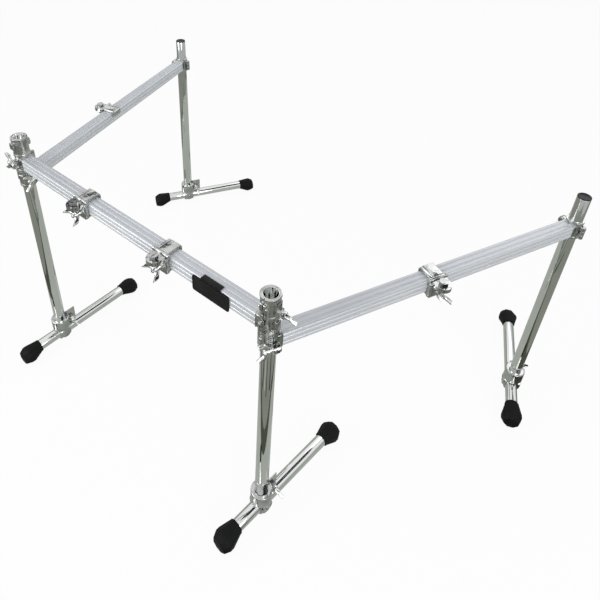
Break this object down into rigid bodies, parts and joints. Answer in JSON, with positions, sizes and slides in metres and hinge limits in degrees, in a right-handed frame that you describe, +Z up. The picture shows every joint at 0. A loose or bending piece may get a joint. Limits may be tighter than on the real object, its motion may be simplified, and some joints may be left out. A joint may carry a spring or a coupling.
{
  "type": "drum rack frame",
  "caption": "Three-sided drum rack: ribbed aluminium bars clamped to chromed posts on T-feet, with hinged bar clamps and sliding clamps for drum arms.",
  "frame": {"origin": "on the floor under the middle of the bounding box", "axes": "+X along the front bar, +Y from the front bar towards the player's side, +Z up"},
  "size_m": [1.822, 1.368, 0.886],
  "materials": {
    "chrome": "mirror chrome plate",
    "clamp_casting": "chromed casting",
    "bar_aluminium": "satin anodised extrusion",
    "rubber": "matt black",
    "black_plastic": "satin black"
  },
  "bodies": {
    "frame": {"front_bar": "bar_aluminium", "badge_plate": "black_plastic", "front_corner_left_body": "clamp_casting", "front_corner_right_body": "clamp_casting"},
    "right_wing": {"right_bar": "bar_aluminium", "right_corner_right_body": "clamp_casting", "right_end_right_body": "clamp_casting"},
    "left_wing": {"left_bar": "bar_aluminium", "left_corner_left_body": "clamp_casting", "left_end_left_body": "clamp_casting"},
    "corner_right_post_body": {"corner_right_post": "chrome"},
    "corner_right_base_body": {"corner_right_base": "clamp_casting", "corner_right_tube": "chrome", "corner_right_rubber_near": "rubber", "corner_right_rubber_far": "rubber"},
    "corner_right_bolt_body": {"corner_right_bolt": "chrome"},
    "corner_left_post_body": {"corner_left_post": "chrome"},
    "corner_left_base_body": {"corner_left_base": "clamp_casting", "corner_left_tube": "chrome", "corner_left_rubber_near": "rubber", "corner_left_rubber_far": "rubber"},
    "corner_left_bolt_body": {"corner_left_bolt": "chrome"},
    "end_right_post_body": {"end_right_post": "chrome", "end_right_cap": "black_plastic"},
    "end_right_base_body": {"end_right_base": "clamp_casting", "end_right_tube": "chrome", "end_right_rubber_near": "rubber", "end_right_rubber_far": "rubber"},
    "end_right_bolt_body": {"end_right_bolt": "chrome"},
    "end_left_post_body": {"end_left_post": "chrome", "end_left_cap": "black_plastic"},
    "end_left_base_body": {"end_left_base": "clamp_casting", "end_left_tube": "chrome", "end_left_rubber_near": "rubber", "end_left_rubber_far": "rubber"},
    "end_left_bolt_body": {"end_left_bolt": "chrome"},
    "front_corner_left_door_body": {"front_corner_left_door": "clamp_casting"},
    "front_corner_left_bolt_body": {"front_corner_left_bolt": "chrome"},
    "front_corner_right_door_body": {"front_corner_right_door": "clamp_casting"},
    "front_corner_right_bolt_body": {"front_corner_right_bolt": "chrome"},
    "right_corner_right_door_body": {"right_corner_right_door": "clamp_casting"},
    "right_corner_right_bolt_body": {"right_corner_right_bolt": "chrome"},
    "right_end_right_door_body": {"right_end_right_door": "clamp_casting"},
    "right_end_right_bolt_body": {"right_end_right_bolt": "chrome"},
    "left_corner_left_door_body": {"left_corner_left_door": "clamp_casting"},
    "left_corner_left_bolt_body": {"left_corner_left_bolt": "chrome"},
    "left_end_left_door_body": {"left_end_left_door": "clamp_casting"},
    "left_end_left_bolt_body": {"left_end_left_bolt": "chrome"},
    "holder_front_left_holder_body": {"holder_front_left_body": "clamp_casting"},
    "holder_front_left_jaw_body": {"holder_front_left_jaw": "clamp_casting"},
    "holder_front_left_bolt_body": {"holder_front_left_bolt": "chrome"},
    "holder_front_right_holder_body": {"holder_front_right_body": "clamp_casting"},
    "holder_front_right_jaw_body": {"holder_front_right_jaw": "clamp_casting"},
    "holder_front_right_bolt_body": {"holder_front_right_bolt": "chrome"},
    "holder_right_holder_body": {"holder_right_body": "clamp_casting"},
    "holder_right_jaw_body": {"holder_right_jaw": "clamp_casting"},
    "holder_right_bolt_body": {"holder_right_bolt": "chrome"},
    "holder_left_holder_body": {"holder_left_body": "clamp_casting"},
    "holder_left_jaw_body": {"holder_left_jaw": "clamp_casting"},
    "holder_left_bolt_body": {"holder_left_bolt": "chrome"}
  },
  "joints": [
    {"name": "right_wing_swing", "type": "hinge", "parent": "frame", "child": "right_wing", "pos_m": [0.40788, -0.51999, 0.7445], "axis": [0, 0, 1], "range_deg": [-64, 25]},
    {"name": "left_wing_swing", "type": "hinge", "parent": "frame", "child": "left_wing", "pos_m": [-0.55412, -0.51999, 0.7445], "axis": [0, 0, 1], "range_deg": [-25, 70]},
    {"name": "corner_right_post_slide", "type": "slide", "parent": "frame", "child": "corner_right_post_body", "axis": [0, 0, 1], "range_m": [-0.08, 0.25]},
    {"name": "corner_right_foot_turn", "type": "hinge", "parent": "corner_right_post_body", "child": "corner_right_base_body", "pos_m": [0.40788, -0.51999, 0.079], "axis": [0, 0, 1], "continuous": true},
    {"name": "corner_right_foot_bolt_turn", "type": "hinge", "parent": "corner_right_base_body", "child": "corner_right_bolt_body", "pos_m": [0.41198, -0.48221, 0.079], "axis": [-0.9942, 0.108, 0], "continuous": true},
    {"name": "corner_left_post_slide", "type": "slide", "parent": "frame", "child": "corner_left_post_body", "axis": [0, 0, 1], "range_m": [-0.08, 0.25]},
    {"name": "corner_left_foot_turn", "type": "hinge", "parent": "corner_left_post_body", "child": "corner_left_base_body", "pos_m": [-0.55412, -0.51999, 0.079], "axis": [0, 0, 1], "continuous": true},
    {"name": "corner_left_foot_bolt_turn", "type": "hinge", "parent": "corner_left_base_body", "child": "corner_left_bolt_body", "pos_m": [-0.55319, -0.482, 0.079], "axis": [-0.9997, 0.0244, 0], "continuous": true},
    {"name": "end_right_post_slide", "type": "slide", "parent": "right_wing", "child": "end_right_post_body", "axis": [0, 0, 1], "range_m": [-0.07, 0.25]},
    {"name": "end_right_foot_turn", "type": "hinge", "parent": "end_right_post_body", "child": "end_right_base_body", "pos_m": [0.83026, 0.35766, 0.079], "axis": [0, 0, 1], "continuous": true},
    {"name": "end_right_foot_bolt_turn", "type": "hinge", "parent": "end_right_base_body", "child": "end_right_bolt_body", "pos_m": [0.81665, 0.39313, 0.079], "axis": [-0.9336, -0.3584, 0], "continuous": true},
    {"name": "end_left_post_slide", "type": "slide", "parent": "left_wing", "child": "end_left_post_body", "axis": [0, 0, 1], "range_m": [-0.07, 0.25]},
    {"name": "end_left_foot_turn", "type": "hinge", "parent": "end_left_post_body", "child": "end_left_base_body", "pos_m": [-0.80559, 0.38678, 0.079], "axis": [0, 0, 1], "continuous": true},
    {"name": "end_left_foot_bolt_turn", "type": "hinge", "parent": "end_left_base_body", "child": "end_left_bolt_body", "pos_m": [-0.78551, 0.41905, 0.079], "axis": [-0.849, 0.5284, 0], "continuous": true},
    {"name": "front_corner_left_door_swing", "type": "hinge", "parent": "frame", "child": "front_corner_left_door_body", "pos_m": [-0.55412, -0.48899, 0.801], "axis": [0, 0, -1], "range_deg": [0, 100]},
    {"name": "front_corner_left_bolt_turn", "type": "hinge", "parent": "front_corner_left_door_body", "child": "front_corner_left_bolt_body", "pos_m": [-0.55412, -0.55199, 0.801], "axis": [1, 0, 0], "continuous": true},
    {"name": "front_corner_right_door_swing", "type": "hinge", "parent": "frame", "child": "front_corner_right_door_body", "pos_m": [0.40788, -0.55099, 0.801], "axis": [0, 0, -1], "range_deg": [0, 100]},
    {"name": "front_corner_right_bolt_turn", "type": "hinge", "parent": "front_corner_right_door_body", "child": "front_corner_right_bolt_body", "pos_m": [0.40788, -0.48799, 0.801], "axis": [-1, 0, 0], "continuous": true},
    {"name": "right_corner_right_door_swing", "type": "hinge", "parent": "right_wing", "child": "right_corner_right_door_body", "pos_m": [0.37995, -0.50655, 0.7445], "axis": [0, 0, -1], "range_deg": [0, 100]},
    {"name": "right_corner_right_bolt_turn", "type": "hinge", "parent": "right_corner_right_door_body", "child": "right_corner_right_bolt_body", "pos_m": [0.43671, -0.53387, 0.7445], "axis": [0.4337, 0.9011, 0], "continuous": true},
    {"name": "right_end_right_door_swing", "type": "hinge", "parent": "right_wing", "child": "right_end_right_door_body", "pos_m": [0.8582, 0.34421, 0.7445], "axis": [0, 0, -1], "range_deg": [0, 100]},
    {"name": "right_end_right_bolt_turn", "type": "hinge", "parent": "right_end_right_door_body", "child": "right_end_right_bolt_body", "pos_m": [0.80143, 0.37154, 0.7445], "axis": [-0.4337, -0.9011, 0], "continuous": true},
    {"name": "left_corner_left_door_swing", "type": "hinge", "parent": "left_wing", "child": "left_corner_left_door_body", "pos_m": [-0.58399, -0.52828, 0.7445], "axis": [0, 0, -1], "range_deg": [0, 100]},
    {"name": "left_corner_left_bolt_turn", "type": "hinge", "parent": "left_corner_left_door_body", "child": "left_corner_left_bolt_body", "pos_m": [-0.52328, -0.51144, 0.7445], "axis": [-0.2672, 0.9636, 0], "continuous": true},
    {"name": "left_end_left_door_swing", "type": "hinge", "parent": "left_wing", "child": "left_end_left_door_body", "pos_m": [-0.77572, 0.39507, 0.7445], "axis": [0, 0, -1], "range_deg": [0, 100]},
    {"name": "left_end_left_bolt_turn", "type": "hinge", "parent": "left_end_left_door_body", "child": "left_end_left_bolt_body", "pos_m": [-0.83643, 0.37823, 0.7445], "axis": [0.2672, -0.9636, 0], "continuous": true},
    {"name": "holder_front_left_slide", "type": "slide", "parent": "frame", "child": "holder_front_left_holder_body", "axis": [1, 0, 0], "range_m": [-0.12, 0.12]},
    {"name": "holder_front_left_jaw_open", "type": "hinge", "parent": "holder_front_left_holder_body", "child": "holder_front_left_jaw_body", "pos_m": [-0.23312, -0.54399, 0.827], "axis": [1, 0, 0], "range_deg": [0, 100]},
    {"name": "holder_front_left_bolt_turn", "type": "hinge", "parent": "holder_front_left_holder_body", "child": "holder_front_left_bolt_body", "pos_m": [-0.23312, -0.56599, 0.786], "axis": [0, -1, 0], "continuous": true},
    {"name": "holder_front_right_slide", "type": "slide", "parent": "frame", "child": "holder_front_right_holder_body", "axis": [1, 0, 0], "range_m": [-0.12, 0.07]},
    {"name": "holder_front_right_jaw_open", "type": "hinge", "parent": "holder_front_right_holder_body", "child": "holder_front_right_jaw_body", "pos_m": [0.08688, -0.54399, 0.827], "axis": [1, 0, 0], "range_deg": [0, 100]},
    {"name": "holder_front_right_bolt_turn", "type": "hinge", "parent": "holder_front_right_holder_body", "child": "holder_front_right_bolt_body", "pos_m": [0.08688, -0.56599, 0.786], "axis": [0, -1, 0], "continuous": true},
    {"name": "holder_right_slide", "type": "slide", "parent": "right_wing", "child": "holder_right_holder_body", "axis": [0.4337, 0.9011, 0], "range_m": [-0.15, 0.15]},
    {"name": "holder_right_jaw_open", "type": "hinge", "parent": "holder_right_holder_body", "child": "holder_right_jaw_body", "pos_m": [0.62725, -0.11951, 0.7705], "axis": [0.4337, 0.9011, 0], "range_deg": [0, 100]},
    {"name": "holder_right_bolt_turn", "type": "hinge", "parent": "holder_right_holder_body", "child": "holder_right_bolt_body", "pos_m": [0.64708, -0.12905, 0.7295], "axis": [0.9011, -0.4337, 0], "continuous": true},
    {"name": "holder_left_slide", "type": "slide", "parent": "left_wing", "child": "holder_left_holder_body", "axis": [-0.2672, 0.9636, 0], "range_m": [-0.15, 0.15]},
    {"name": "holder_left_jaw_open", "type": "hinge", "parent": "holder_left_holder_body", "child": "holder_left_jaw_body", "pos_m": [-0.69323, -0.10819, 0.7705], "axis": [0.2672, -0.9636, 0], "range_deg": [0, 100]},
    {"name": "holder_left_bolt_turn", "type": "hinge", "parent": "holder_left_holder_body", "child": "holder_left_bolt_body", "pos_m": [-0.71443, -0.11407, 0.7295], "axis": [-0.9636, -0.2672, 0], "continuous": true}
  ]
}
